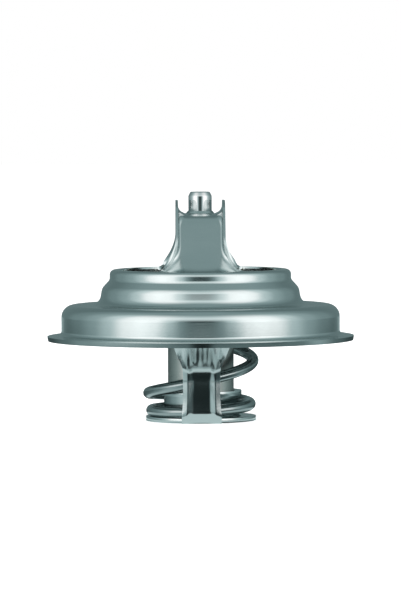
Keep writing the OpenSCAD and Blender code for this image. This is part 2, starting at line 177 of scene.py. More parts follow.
CAN_PATH = ((0.0, CAN_LOW_Z), (CAN_R, CAN_LOW_Z), (CAN_R, LAND_Z), (HEAD_R, LAND_Z),
            (HEAD_R, HEAD_TOP_Z), (CRIMP_R, HEAD_TOP_Z))
CAN_CORNERS = (0, 1.5, 0.3, 1.0, 1.0, 0)
WIPER_R, WIPER_LOW_Z, WIPER_HEIGHT = GROOVE_R - REST_GAP, GROOVE_LOW_Z + REST_GAP, 1.5
WIPER_TOP_Z = WIPER_LOW_Z + WIPER_HEIGHT
WIPER_LIP, WIPER_LIP_LAND, WIPER_HOLLOW = 0.5, 0.3, 0.4
WIPER_OUTLINE = ((WIPER_R, WIPER_LOW_Z), (WIPER_R, WIPER_TOP_Z), (BORE_R + WIPER_LIP, WIPER_TOP_Z),
                 (BORE_R, WIPER_TOP_Z - WIPER_LIP), (BORE_R, WIPER_TOP_Z - WIPER_LIP - WIPER_LIP_LAND),
                 (BORE_R + WIPER_HOLLOW, WIPER_LOW_Z + WIPER_LIP),
                 (BORE_R + WIPER_HOLLOW, WIPER_LOW_Z))

# Piston: a ground pin, its lower end tapered
PISTON_R, PISTON_TOP_Z, PISTON_CHAMFER = 2.55, 32.4, 0.45
TIP_R, TIP_Z, TAPER_Z = 1.1, -10.2, 0.8
PISTON_OUTLINE = ((0.0, TIP_Z), (TIP_R, TIP_Z), (PISTON_R, TAPER_Z),
                  (PISTON_R, PISTON_TOP_Z - 2 * PISTON_CHAMFER),
                  (PISTON_R - PISTON_CHAMFER, PISTON_TOP_Z), (0.0, PISTON_TOP_Z))
PISTON_CORNERS = (0, 1.0, 3.0, 0.5, 0.3, 0)
PIN_STEPS = 96

# Finishes: a metal's darkest and lightest tone as shares of its colour, and how far its clouds,
# specks and drawing marks reach its gloss and relief
DARKEST, LIGHTEST = 0.5, 1.5
CLOUD_GLOSS, LINE_GLOSS = 0.9, 0.6
SPECK_RELIEF, LINE_RELIEF = 6, 10
METAL_RELIEF, SOFT_RELIEF = 0.0002, 0.0001

# Studio: its floor and the bowl and card round the part, in metres
FLOOR_Z = BASE_UNDER_Z * MM
FLOOR_R = 4.0
SURROUND_R = 0.75
CARD_LIFT, CARD_HOLE_R = 0.00005, 0.002
AMBIENT_LEVEL = 0.45
PAPER = (0.8, 0.8, 0.8, 1)
WHITE = (1, 1, 1, 1)
PHOTO_SIZE = (401, 601)

# Brightness of the studio round the part, by azimuth in degrees from the camera's side. The
# first three are the same on both sides.
FLOOR_LEVELS = ((0, 0.42), (6, 0.38), (13, 0.31), (25, 0.3), (31, 0.5), (38, 0.9), (50, 1.08),
                (64, 0.98), (80, 0.5), (98, 0.26), (120, 0.15), (138, 0.12), (150, 0.15), (160, 0.3),
                (170, 0.34), (180, 0.3))
HORIZON_LEVELS = ((0, 0.05), (8, 0.06), (16, 0.22), (24, 0.6), (37, 1.05), (50, 1.15), (64, 1.0),
                  (80, 0.55), (98, 0.34), (120, 0.24), (150, 0.2), (180, 0.17))
UPPER_LEVELS = ((0, 0.72), (12, 0.74), (24, 0.85), (37, 1.02), (60, 1.0), (78, 0.66), (98, 0.36),
                (125, 0.22), (150, 0.18), (180, 0.17))
GROUND_LEVELS = ((-180, 0.06), (-140, 0.06), (-110, 0.14), (-84, 0.26), (-50, 0.5), (-26, 0.34),
                 (-13, 0.03), (0, 0.015), (13, 0.02), (26, 0.04), (45, 0.06), (66, 0.15), (84, 0.32),
                 (110, 0.12), (140, 0.05), (180, 0.05))
OVERHEAD_LEVEL = 0.28
BACK_LEVEL = 0.16
RIM_LEVEL = 0.17
FOOT_LEVEL = 0.55
SHADE_TINT = (0.64, 1.0, 1.02)

# Where each level takes over from the one before, as (from, to) bands: of elevation, of the
# distance from the axis in metres, and of the share of that distance that lies behind or aside
UPPER_BAND = (radians(5), radians(34))
OVERHEAD_BAND = (radians(33), radians(74))
BACK_BAND, BACK_CEILING = (0.6, 0.85), (radians(80), radians(58))
FLOOR_BAND, GROUND_BAND = (0.7, 0.66), (0.42, 0.2)
RIM_OUTSIDE, RIM_INSIDE, RIM_ASIDE = (0.094, 0.084), (0.056, 0.066), (0.06, 0.16)
FOOT_OUTSIDE, FOOT_INSIDE = (0.0198, 0.0178), (0.0125, 0.0135)


def ease(x):
    t = min(max(x, 0), 1)
    return t * t * (3 - 2 * t)


def mix(a, b, share):
    return a + (b - a) * share


def left_of(v):
    return Vector((-v.y, v.x))


def away(azimuth, elevation):
    """The direction out from the part, by its turn from the front and its height."""
    return Vector((sin(azimuth) * cos(elevation), -cos(azimuth) * cos(elevation), sin(elevation)))


# Mesh tools

def turned(bm, outline, corners=None, closed=False, steps=DOME_STEPS):
    """Turns a profile of (radius, height) points about the Z axis, with its corners rounded."""
    points = [Vector(p) for p in outline]
    ends = [bm.verts.new((p.x, 0, p.y)) for p in points]
    for a, b in zip(ends, ends[1:] + (ends[:1] if closed else [])):
        bm.edges.new((a, b))
    for i, radius in enumerate(corners or ()):
        if radius:
            back, ahead = points[i - 1] - points[i], points[(i + 1) % len(points)] - points[i]
            bmesh.ops.bevel(bm, geom=[ends[i]], offset=radius / tan(back.angle(ahead) / 2),
                            offset_type="OFFSET", segments=CORNER_CUTS, profile=0.5,
                            affect="VERTICES", material=-1)
    bmesh.ops.spin(bm, geom=bm.verts[:] + bm.edges[:], cent=(0, 0, 0), axis=(0, 0, 1),
                   dvec=(0, 0, 0), angle=2 * pi, steps=steps, use_merge=True)
    weld(bm)


def weld(bm):
    bmesh.ops.remove_doubles(bm, verts=bm.verts, dist=WELD)
    bmesh.ops.recalc_face_normals(bm, faces=bm.faces)


def face_towards(bm, near, way):
    """Turns an open sheet over if its face nearest to a point doesn't look that way."""
    face = min(bm.faces, key=lambda f: (f.calc_center_median() - Vector(near)).length)
    if face.normal.dot(Vector(way)) < 0:
        bmesh.ops.reverse_faces(bm, faces=bm.faces)


def stations(path, bends, step):
    """Stops along the bent path of a sheet: (point, direction) pairs in its (along, up) plane."""
    points = [Vector(p) for p in path]
    start, stops = points[0], []
    for i in range(1, len(points)):
        ahead = (points[i] - points[i - 1]).normalized()
        turn, reach = 0, 0
        if i < len(points) - 1:
            onward = (points[i + 1] - points[i]).normalized()
            turn = atan2(ahead.x * onward.y - ahead.y * onward.x, ahead.dot(onward))
            reach = bends[i] * tan(abs(turn) / 2)
        end = points[i] - ahead * reach
        count = max(1, round((end - start).length / step))
        stops += [(start.lerp(end, k / count), ahead.copy()) for k in range(count)]
        if reach:
            hand = bends[i] if turn > 0 else -bends[i]
            centre = end + left_of(ahead) * hand
            count = ceil(abs(turn) / BEND_TURN)
            for k in range(count):
                facing = Matrix.Rotation(turn * k / count, 2) @ ahead
                stops.append((centre - left_of(facing) * hand, facing))
            start = points[i] + onward * reach
    return stops + [(points[-1], ahead)]


def curve_between(t, start, start_pull, end, end_pull):
    """A point at the share t of a curve that leaves start and reaches end as the pulls say."""
    return ((2 * t ** 3 - 3 * t ** 2 + 1) * start + (t ** 3 - 2 * t ** 2 + t) * start_pull
            + (3 * t ** 2 - 2 * t ** 3) * end + (t ** 3 - t ** 2) * end_pull)


def formed_sheet(bm, columns, rows, place, share=None):
    """A grid of faces whose vertices are put in place by column, from -columns to columns, and
    row. share gives the part of the sheet's thickness that is left there."""
    layer = bm.verts.layers.deform.verify() if share else None
    grid = bmesh.ops.create_grid(bm, x_segments=2 * columns, y_segments=rows, size=1)["verts"]
    for v in grid:
        column, row = round(v.co.x * columns), round((v.co.y + 1) / 2 * rows)
        v.co = place(column, row)
        if share:
            v[layer][0] = share(column, row)
    return grid


def half_turned(bm, verts):
    """A second copy of some verts' faces, half a turn round the Z axis."""
    faces = {f for v in verts for f in v.link_faces}
    made = bmesh.ops.duplicate(bm, geom=list(verts) + list(faces))["geom"]
    bmesh.ops.rotate(bm, cent=(0, 0, 0), matrix=Matrix.Rotation(pi, 3, "Z"), verts=verts_of(made))


def verts_of(geometry):
    return [g for g in geometry if isinstance(g, bmesh.types.BMVert)]


def placed_mesh(bm, name, material):
    """Makes a mesh an object of the scene, with one material."""
    mesh = bpy.data.meshes.new(name)
    bm.to_mesh(mesh)
    bm.free()
    mesh.shade_smooth()
    mesh.materials.append(material)
    made = bpy.data.objects.new(name, mesh)
    bpy.context.scene.collection.objects.link(made)
    return made


def finished(bm, name, material, body, node):
    """Scales a mesh to metres, makes it an object and gives it its place in the frame."""
    bmesh.ops.scale(bm, vec=(MM, MM, MM), verts=bm.verts)
    piece = placed_mesh(bm, name, material)
    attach(piece, body)
    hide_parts(node)
    return piece


def thickened(piece, thickness, by_group=False):
    """Gives an open sheet its thickness, behind the face that was drawn."""
    wall = piece.modifiers.new("sheet thickness", "SOLIDIFY")
    wall.thickness = thickness
    wall.offset = -1
    wall.use_even_offset = True
    wall.use_quality_normals = True
    if by_group:
        piece.vertex_groups.new(name="sheet_share")
        wall.vertex_group = "sheet_share"


def edged(piece, width, cuts=2, angle=35):
    """Rounds the sharp edges a little and lets the flat faces stay flat in the light."""
    edge = piece.modifiers.new("worn edges", "BEVEL")
    edge.width = width
    edge.segments = cuts
    edge.limit_method = "ANGLE"
    edge.angle_limit = radians(angle)
    edge.miter_outer = "MITER_ARC"
    shade = piece.modifiers.new("flat faces", "WEIGHTED_NORMAL")
    shade.keep_sharp = True


# Material tools

def add_node(tree, kind, **values):
    """A node with some inputs set or linked; option_ names set the node's own settings."""
    node = tree.nodes.new(kind)
    for name, value in values.items():
        if name.startswith("option_"):
            setattr(node, name[len("option_"):], value)
    for name, value in values.items():
        if name.startswith("option_"):
            continue
        key = int(name[1:]) if name[0] == "i" and name[1:].isdigit() else name.replace("_", " ")
        give(tree, node.inputs[key], value)
    return node


def give(tree, socket, value):
    """Links an input to another node's output, or sets its own value."""
    if isinstance(value, bpy.types.NodeSocket):
        tree.links.new(value, socket)
    else:
        socket.default_value = value


def maths(tree, operation, a, b=0.0, clamp=False):
    return add_node(tree, "ShaderNodeMath", option_operation=operation, option_use_clamp=clamp,
                    i0=a, i1=b).outputs[0]


def weighed_sum(tree, *parts):
    """The sum of (value, weight) parts, each value times its weight."""
    total = None
    for value, weight in parts:
        part = maths(tree, "MULTIPLY", value, weight)
        total = part if total is None else maths(tree, "ADD", total, part)
    return total


def from_axis(tree, x, y):
    """Distance from the part's axis."""
    return maths(tree, "SQRT", weighed_sum(tree, (x, x), (y, y)))


def mixed_colour(tree, share, first, second):
    """A blend of two colours, each given as a colour or as a socket."""
    blend = tree.nodes.new("ShaderNodeMix")
    blend.data_type = "RGBA"
    tree.links.new(share, blend.inputs[0])
    for socket, value in zip((s for s in blend.inputs if s.type == "RGBA"), (first, second)):
        give(tree, socket, value)
    return next(s for s in blend.outputs if s.type == "RGBA")


def new_group(name, inputs, outputs):
    """An empty node group with float or vector inputs and float outputs."""
    group = bpy.data.node_groups.new(name, "ShaderNodeTree")
    for label, kind, default in inputs:
        socket = group.interface.new_socket(label, in_out="INPUT", socket_type=kind)
        if default is not None:
            socket.default_value = default
    for label in outputs:
        group.interface.new_socket(label, in_out="OUTPUT", socket_type="NodeSocketFloat")
    return group, group.nodes.new("NodeGroupInput"), group.nodes.new("NodeGroupOutput")


def plating_bloom():
    """Cloudy patches and fine specks, as on a plated or pickled metal surface."""
    name = "plating_bloom"
    if name in bpy.data.node_groups:
        return bpy.data.node_groups[name]
    group, given, out = new_group(
        name,
        (("Vector", "NodeSocketVector", None), ("Cloud Scale", "NodeSocketFloat", 90.0),
         ("Speck Scale", "NodeSocketFloat", 1400.0)),
        ("Cloud", "Speck"))
    cloud = add_node(group, "ShaderNodeTexNoise", Vector=given.outputs["Vector"],
                     Scale=given.outputs["Cloud Scale"], Detail=5.0, Roughness=0.62, Distortion=0.6)
    speck = add_node(group, "ShaderNodeTexNoise", Vector=given.outputs["Vector"],
                     Scale=given.outputs["Speck Scale"], Detail=2.0, Roughness=0.5)
    group.links.new(cloud.outputs["Fac"], out.inputs["Cloud"])
    group.links.new(speck.outputs["Fac"], out.inputs["Speck"])
    return group


def drawing_marks():
    """Fine lines round the axis, as a press or a lathe leaves them on a round part."""
    name = "drawing_marks"
    if name in bpy.data.node_groups:
        return bpy.data.node_groups[name]
    group, given, out = new_group(
        name,
        (("Vector", "NodeSocketVector", None), ("Line Scale", "NodeSocketFloat", 2600.0),
         ("Breaks", "NodeSocketFloat", 60.0)),
        ("Lines",))
    x, y, z = add_node(group, "ShaderNodeSeparateXYZ", Vector=given.outputs["Vector"]).outputs
    scale, breaks = given.outputs["Line Scale"], given.outputs["Breaks"]
    place = add_node(group, "ShaderNodeCombineXYZ",
                     X=weighed_sum(group, (from_axis(group, x, y), scale), (x, breaks)),
                     Y=maths(group, "MULTIPLY", z, scale), Z=maths(group, "MULTIPLY", y, breaks))
    lines = add_node(group, "ShaderNodeTexNoise", Vector=place.outputs["Vector"], Scale=1.0,
                     Detail=3.0, Roughness=0.65)
    group.links.new(lines.outputs["Fac"], out.inputs["Lines"])
    return group


def blank_material(name):
    material = bpy.data.materials.new(name)
    material.use_nodes = True
    tree = material.node_tree
    place = tree.nodes.new("ShaderNodeTexCoord").outputs["Object"]
    return material, tree, tree.nodes["Principled BSDF"], place


def toned(colour, factor):
    """A colour made darker or lighter, for a shader's socket."""
    return (*(min(c * factor, 1.0) for c in colour), 1)


def metal_finish(name, colour, roughness, cloud=0.1, speck=0.05, lines=0.05, bump=0.02,
                 cloud_scale=90.0, speck_scale=1400.0, line_scale=2600.0, breaks=60.0):
    """A metal with cloudy plating, specks and drawing marks in its colour, gloss and relief."""
    if name in bpy.data.materials:
        return bpy.data.materials[name]
    material, tree, shader, place = blank_material(name)
    bloom = add_node(tree, "ShaderNodeGroup", option_node_tree=plating_bloom(), Vector=place,
                     Cloud_Scale=cloud_scale, Speck_Scale=speck_scale)
    marks = add_node(tree, "ShaderNodeGroup", option_node_tree=drawing_marks(), Vector=place,
                     Line_Scale=line_scale, Breaks=breaks)
    patch = maths(tree, "SUBTRACT", bloom.outputs["Cloud"], 0.5)
    grit = maths(tree, "SUBTRACT", bloom.outputs["Speck"], 0.5)
    line = maths(tree, "SUBTRACT", marks.outputs["Lines"], 0.5)

    shade = weighed_sum(tree, (patch, cloud), (line, lines))
    tone = mixed_colour(tree, maths(tree, "ADD", shade, 0.5, clamp=True),
                        toned(colour, DARKEST), toned(colour, LIGHTEST))
    tree.links.new(tone, shader.inputs["Base Color"])
    rough = weighed_sum(tree, (patch, cloud * CLOUD_GLOSS), (grit, speck),
                        (line, lines * LINE_GLOSS))
    tree.links.new(maths(tree, "ADD", rough, roughness, clamp=True), shader.inputs["Roughness"])
    height = weighed_sum(tree, (grit, speck * SPECK_RELIEF), (line, lines * LINE_RELIEF))
    relief = add_node(tree, "ShaderNodeBump", Strength=bump, Distance=METAL_RELIEF, Height=height)
    tree.links.new(relief.outputs["Normal"], shader.inputs["Normal"])
    shader.inputs["Metallic"].default_value = 1.0
    return material


def soft_finish(name, colour, roughness, speck_scale=2500.0, bump=0.15, mottle=0.15):
    """Rubber, plastic or wax: a mottled colour, a matt sheen and a fine moulded grain."""
    if name in bpy.data.materials:
        return bpy.data.materials[name]
    material, tree, shader, place = blank_material(name)
    bloom = add_node(tree, "ShaderNodeGroup", option_node_tree=plating_bloom(), Vector=place,
                     Cloud_Scale=160.0, Speck_Scale=speck_scale)
    tone = mixed_colour(tree, bloom.outputs["Cloud"], toned(colour, 1 - mottle),
                        toned(colour, 1 + mottle))
    tree.links.new(tone, shader.inputs["Base Color"])
    rough = maths(tree, "MULTIPLY", maths(tree, "SUBTRACT", bloom.outputs["Speck"], 0.5), 0.2)
    tree.links.new(maths(tree, "ADD", rough, roughness, clamp=True), shader.inputs["Roughness"])
    relief = add_node(tree, "ShaderNodeBump", Strength=bump, Distance=SOFT_RELIEF,
                      Height=bloom.outputs["Speck"])
    tree.links.new(relief.outputs["Normal"], shader.inputs["Normal"])
    return material


# Settings

class ThermostatSizes(bpy.types.PropertyGroup):
    """Sizes of the pressed and wound pieces that a user may change."""
    housing_sheet: FloatProperty(
        name="Housing sheet", description="Thickness of the housing's sheet",
        default=0.001, unit="LENGTH", precision=5)
    fin_share: FloatProperty(
        name="Fin thinning", description="Share of the sheet's thickness left in the bridge's fins",
        default=0.52, subtype="FACTOR", min=0.1, max=1)
    tip_share: FloatProperty(
        name="Fin tip thinning", description="Share of the sheet's thickness left at the fins' tips",
        default=0.5, subtype="FACTOR", min=0.1, max=1)
    frame_sheet: FloatProperty(
        name="Frame sheet", description="Thickness of the lower frame's sheet",
        default=0.0011, unit="LENGTH", precision=5)
    sheet_edge: FloatProperty(
        name="Sheet edge", description="Rounding of the cut edges of the sheets",
        default=0.0002, unit="LENGTH", precision=5)
    turned_edge: FloatProperty(
        name="Turned edge", description="Rounding of the edges of the turned pieces",
        default=0.0001, unit="LENGTH", precision=5)
    wire: FloatProperty(
        name="Spring wire", description="Diameter of the spring's wire",
        default=0.0025, unit="LENGTH", precision=5)


class ThermostatFinishes(bpy.types.PropertyGroup):
    """Colours and gloss of the finishes."""
    plating: FloatVectorProperty(
        name="Plating", description="Colour of the plated sheet steel",
        default=(0.62, 0.70, 0.69), subtype="COLOR", min=0, max=1)
    plating_roughness: FloatProperty(
        name="Plating roughness", description="Roughness of the plated sheet steel",
        default=0.15, subtype="FACTOR", min=0, max=1)
    piston: FloatVectorProperty(
        name="Piston", description="Colour of the ground piston",
        default=(0.93, 0.95, 0.95), subtype="COLOR", min=0, max=1)
    spring: FloatVectorProperty(
        name="Spring", description="Colour of the spring's wire",
        default=(0.40, 0.45, 0.45), subtype="COLOR", min=0, max=1)
    can: FloatVectorProperty(
        name="Can", description="Colour of the wax element's can",
        default=(0.62, 0.63, 0.60), subtype="COLOR", min=0, max=1)
    guide: FloatVectorProperty(
        name="Guide", description="Colour of the brass guide",
        default=(0.78, 0.62, 0.32), subtype="COLOR", min=0, max=1)
    rubber: FloatVectorProperty(
        name="Rubber", description="Colour of the rubber pieces",
        default=(0.018, 0.019, 0.020), subtype="COLOR", min=0, max=1)
    washer: FloatVectorProperty(
        name="Washer", description="Colour of the support washer",
        default=(0.82, 0.82, 0.78), subtype="COLOR", min=0, max=1)
    wax: FloatVectorProperty(
        name="Wax", description="Colour of the wax charge",
        default=(0.72, 0.62, 0.36), subtype="COLOR", min=0, max=1)


class ThermostatStudio(bpy.types.PropertyGroup):
    """The camera's place and the level of the studio's lights."""
    camera_distance: FloatProperty(
        name="Camera distance", description="Distance from the camera to its target",
        default=1.0, unit="LENGTH")
    camera_azimuth: FloatProperty(
        name="Camera azimuth", description="Turn of the camera round the part",
        default=radians(-0.6), subtype="ANGLE")
    camera_elevation: FloatProperty(
        name="Camera elevation", description="Height of the camera as an angle",
        default=radians(2.5), subtype="ANGLE")
    camera_roll: FloatProperty(
        name="Camera roll", description="Tilt of the camera about its own axis",
        default=radians(-0.26), subtype="ANGLE")
    target_height: FloatProperty(
        name="Target height", description="Height of the point in the picture's middle",
        default=0.00864, unit="LENGTH", precision=5)
    pixels_per_metre: FloatProperty(
        name="Picture scale", description="Picture pixels to a metre at the target",
        default=4580.0)
    lamp_power: FloatProperty(
        name="Lamp power", description="Power of each lamp, in watts",
        default=1.6, min=0)
    surround_level: FloatProperty(
        name="Surround level",
        description="Brightness of the softboxes round the part as its metal shows them",
        default=1.35, min=0)
    floor_glow: FloatProperty(
        name="Floor glow", description="Share of the floor's white that doesn't depend on the lamps",
        default=0.8, min=0)


def plated_steel(finishes):
    return metal_finish("bright_plating", finishes.plating, finishes.plating_roughness)


def rubber(finishes):
    return soft_finish("moulded_rubber", finishes.rubber, 0.5)


# Housing

def channel_point(column, fillet):
    """Half of the bridge's section at a column: how far out and how far up."""
    k = abs(column)
    web = CHANNEL_HALF - fillet
    if k <= FLAT_COLUMNS:
        return web * k / FLAT_COLUMNS, 0.0
    if k <= FILLET_COLUMNS:
        a = pi / 2 * (k - FLAT_COLUMNS) / (FILLET_COLUMNS - FLAT_COLUMNS)
        return web + fillet * sin(a), fillet * (1 - cos(a))
    share = (k - FILLET_COLUMNS) / (BRIDGE_COLUMNS - FILLET_COLUMNS)
    return CHANNEL_HALF + FIN_SPREAD * share, mix(fillet, FIN_HEIGHT, share)


def bridge_point(column, stop):
    """A point on the bridge's outer face, by its column and its stop along the run."""
    (along, up), ahead = stop
    top = ease((up - FILLET_FROM_Z) / (WEB_Z - FILLET_FROM_Z))
    out, rise = channel_point(column, mix(LEG_FILLET, TOP_FILLET, top))
    raised = Vector((along, up)) + left_of(ahead) * rise
    return Vector((out if column > 0 else -out, raised.x, raised.y))


def foot_point(column, row, stop):
    """A point on the bridge's foot, which flares from the run's first stop to the mouth's edge."""
    side = abs(column) / BRIDGE_COLUMNS
    turn = FOOT_SPREAD * column / BRIDGE_COLUMNS
    pulls = [mix(*pair, side * side) for pair in zip(FOOT_MIDDLE_PULLS, FOOT_SIDE_PULLS)]
    start = Vector((MOUTH_R * sin(turn), -MOUTH_R * cos(turn), MOUTH_Z))
    inward = turn + (FOOT_TOE_IN if column > 0 else -FOOT_TOE_IN) * side ** 2
    up = FOOT_RISE * (1 - side ** 2)
    start_pull = Vector((-sin(inward) * cos(up), cos(inward) * cos(up), sin(up))) * pulls[0]
    end_pull = Vector((0, stop[1].x, stop[1].y)) * pulls[1]
    return curve_between(row / FOOT_ROWS, start, start_pull, bridge_point(column, stop), end_pull)


def bridge_share(column, row, sizes):
    """The part of the sheet's thickness that is left in the bridge: less in its fins."""
    grown = ease(row / FOOT_ROWS)
    fin = ease((abs(column) - FLAT_COLUMNS) / (FILLET_COLUMNS - FLAT_COLUMNS))
    tip = ease((abs(column) - FILLET_COLUMNS) / (BRIDGE_COLUMNS - FILLET_COLUMNS))
    return mix(mix(1.0, sizes.fin_share, fin * grown), sizes.tip_share, tip * grown)


def web_height(x):
    """Height of the bridge's top face over its middle part, by distance from its centre line."""
    over = min(max(abs(x) - CHANNEL_HALF + TOP_FILLET, 0), TOP_FILLET)
    return WEB_Z + TOP_FILLET - sqrt(TOP_FILLET ** 2 - over ** 2)


def raise_boss(bm, share_layer):
    """Opens the piston's hole in the web, with the boss that the press raised round it."""
    middles = {f: f.calc_center_median() for f in bm.faces}
    opened = [f for f, middle in middles.items() if middle.z > WEB_Z - CLEARED_DEPTH
              and abs(middle.x) < CLEARED_X and abs(middle.y) < CLEARED_Y]
    bmesh.ops.delete(bm, geom=opened, context="FACES")
    rim = [e for e in bm.edges if e.is_boundary and all(
        abs(v.co.x) < CLEARED_X + CLEARED_MARGIN and abs(v.co.y) < CLEARED_Y + CLEARED_MARGIN
        for v in e.verts)]
    ring = bmesh.ops.create_circle(bm, segments=len(rim), radius=BOSS_FOOT_R)["verts"]
    edges = list({e for v in ring for e in v.link_edges})
    for v in ring:
        v.co.z = web_height(v.co.x)
        v[share_layer][0] = BOSS_FOOT_SHARE
    bmesh.ops.bridge_loops(bm, edges=rim + edges)
    for radius, height, share in BOSS_ROWS:
        made = bmesh.ops.extrude_edge_only(bm, edges=edges)["geom"]
        edges = [g for g in made if isinstance(g, bmesh.types.BMEdge)]
        for v in verts_of(made):
            v.co.xy = v.co.xy.normalized() * radius
            v.co.z = height
            v[share_layer][0] = share


class THERMOSTAT_OT_housing(bpy.types.Operator):
    """Press the housing: flange, dome, mouth and the channel-shaped bridge over it"""
    bl_idname = "thermostat.housing"
    bl_label = "Housing"

    def execute(self, context):
        sizes = context.scene.thermostat_sizes
        bm = bmesh.new()
        turned(bm, DOME_PATH, DOME_CORNERS)
        share_layer = bm.verts.layers.deform.verify()
        for v in bm.verts:
            v[share_layer][0] = 1.0

        run = stations(BRIDGE_RUN, BRIDGE_BENDS, BRIDGE_STEP)

        def place(column, row):
            if row < FOOT_ROWS:
                return foot_point(column, row, run[0])
            return bridge_point(column, run[row - FOOT_ROWS])

        strip = formed_sheet(bm, BRIDGE_COLUMNS, FOOT_ROWS + len(run) - 1, place,
                             lambda column, row: bridge_share(column, row, sizes))
        half_turned(bm, strip)
        bmesh.ops.remove_doubles(bm, verts=bm.verts, dist=WELD)
        raise_boss(bm, share_layer)
        weld(bm)
        face_towards(bm, (0, -WALL_R, SHOULDER_Z / 2), (0, -1, 0))
        piece = finished(bm, "pressed_housing", plated_steel(context.scene.thermostat_finishes),
                         HOUSING_BODY, "housing")
        thickened(piece, sizes.housing_sheet, by_group=True)
        edged(piece, sizes.sheet_edge)
        return {"FINISHED"}


# Lower frame

def leg_bead(u, along):
    """Depths of the pocket and of the crown behind the leg's outer plane, by the share across
    the leg and the stop along it."""
    out, up = -along.x, along.y - BASE_UNDER_Z
    pocket = ease((POCKET_SIDE - abs(u)) / (POCKET_SIDE - POCKET_FLOOR))
    pocket *= ease((out - POCKET_START) / POCKET_FADE_IN) * ease((POCKET_END - out) / POCKET_FADE_OUT)
    pocket *= mix(1, POCKET_TOP_SHARE, ease((up - POCKET_SHALLOW_FROM) / POCKET_SHALLOW_OVER))
    crown = max(abs(u) - CROWN_FROM, 0) / (1 - CROWN_FROM)
    crown *= ease(up / CROWN_FADE_IN) * ease((CROWN_END - out) / CROWN_FADE_OUT)
    return POCKET_DEPTH * pocket, CROWN_DEPTH * crown


def leg_ripple(x, out):
    """Shallow folds that drawing leaves in the leg where its sheet spreads."""
    waves = (cos(2 * pi * (x / RIPPLE_LENGTH + RIPPLE_SHIFT))
             + SECOND_RIPPLE_DEPTH * cos(2 * pi * x / (SECOND_RIPPLE_LENGTH * RIPPLE_LENGTH)))
    return RIPPLE_DEPTH * waves * ease((out - RIPPLE_START) / RIPPLE_FADE_IN)


def leg_half_width(along):
    """Half of the leg's width: more at its foot, and more again as it leans out to the wall."""
    foot = 1 - ease((along.y - BASE_UNDER_Z) / LEG_FOOT_RISE)
    spread = max(-along.x - LEG_OUT_Y, 0)
    return mix(LEG_HALF, LEG_FOOT_HALF, foot) + LEG_SPREAD * spread ** 2 / (spread + LEG_SPREAD_EASE)


class THERMOSTAT_OT_lower_frame(bpy.types.Operator):
    """Bend the lower frame: base plate with its drawn collar, and two legs up to the housing"""
    bl_idname = "thermostat.lower_frame"
    bl_label = "Lower frame"

    def execute(self, context):
        sizes = context.scene.thermostat_sizes
        bm = bmesh.new()
        turned(bm, BASE_PATH, BASE_CORNERS, steps=BASE_STEPS)
        share_layer = bm.verts.layers.deform.verify()
        for v in bm.verts:
            drawn = (ease((v.co.z - DRAWN_LOW_Z) / DRAWN_LOW_FADE)
                     * ease((DRAWN_TOP_Z - v.co.z) / DRAWN_TOP_FADE))
            v[share_layer][0] = mix(SHEET_LEFT_PLATE, SHEET_LEFT_COLLAR, drawn)

        run = stations(LEG_RUN, LEG_BENDS, LEG_STEP)

        def place(column, row):
            if row == 0:
                turn = 2 * pi / BASE_STEPS * column
                return Vector((BASE_R * sin(turn), -BASE_R * cos(turn), BASE_UNDER_Z))
            along, ahead = run[row - 1]
            u = column / LEG_COLUMNS
            x = u * leg_half_width(along)
            back = along - left_of(ahead) * (sum(leg_bead(u, along)) + leg_ripple(x, -along.x))
            wrapped = ease((-along.x - LEG_OUT_Y) / (TAB_R - LEG_OUT_Y))
            return Vector((x, back.x + wrapped * (TAB_R - sqrt(TAB_R ** 2 - x * x)), back.y))

        def share(column, row):
            if row == 0:
                return SHEET_LEFT_PLATE
            pocket = leg_bead(column / LEG_COLUMNS, run[row - 1][0])[0]
            return 1 - POCKET_THINNING * pocket / POCKET_DEPTH

        leg = formed_sheet(bm, LEG_COLUMNS, len(run), place, share)
        half_turned(bm, leg)
        weld(bm)
        face_towards(bm, (0, -BASE_R, BASE_UNDER_Z), (0, 0, -1))
        piece = finished(bm, "lower_strap", plated_steel(context.scene.thermostat_finishes),
                         HOUSING_BODY, "lower_frame")
        thickened(piece, sizes.frame_sheet, by_group=True)
        edged(piece, sizes.sheet_edge)
        return {"FINISHED"}


# Spring

def climb(v):
    """How far the spring's wire has climbed v turns from its middle, by the pitches there."""
    total = 0
    for (a, pitch), (b, onward) in zip(COIL_PITCHES, COIL_PITCHES[1:]):
        if v > a:
            end = min(v, b)
            total += (end - a) * (pitch + mix(pitch, onward, (end - a) / (b - a))) / 2
    return total


def coil_point(u, wire_r):
    """Centre of the spring's wire, u turns from its middle."""
    v = abs(u)
    rise = (COIL_HIGH_Z - COIL_LOW_Z) / 2 * climb(v) / climb(SPRING_TURNS / 2)
    shrunk = ease((v - SHRINK_FROM) / (SHRINK_TO - SHRINK_FROM))
    radius = mix(SPRING_R, SPRING_END_R, shrunk) - wire_r
    turn = 2 * pi * u
    return Vector((radius * cos(turn), radius * sin(turn),
                   (COIL_LOW_Z + COIL_HIGH_Z) / 2 + (rise if u > 0 else -rise)))


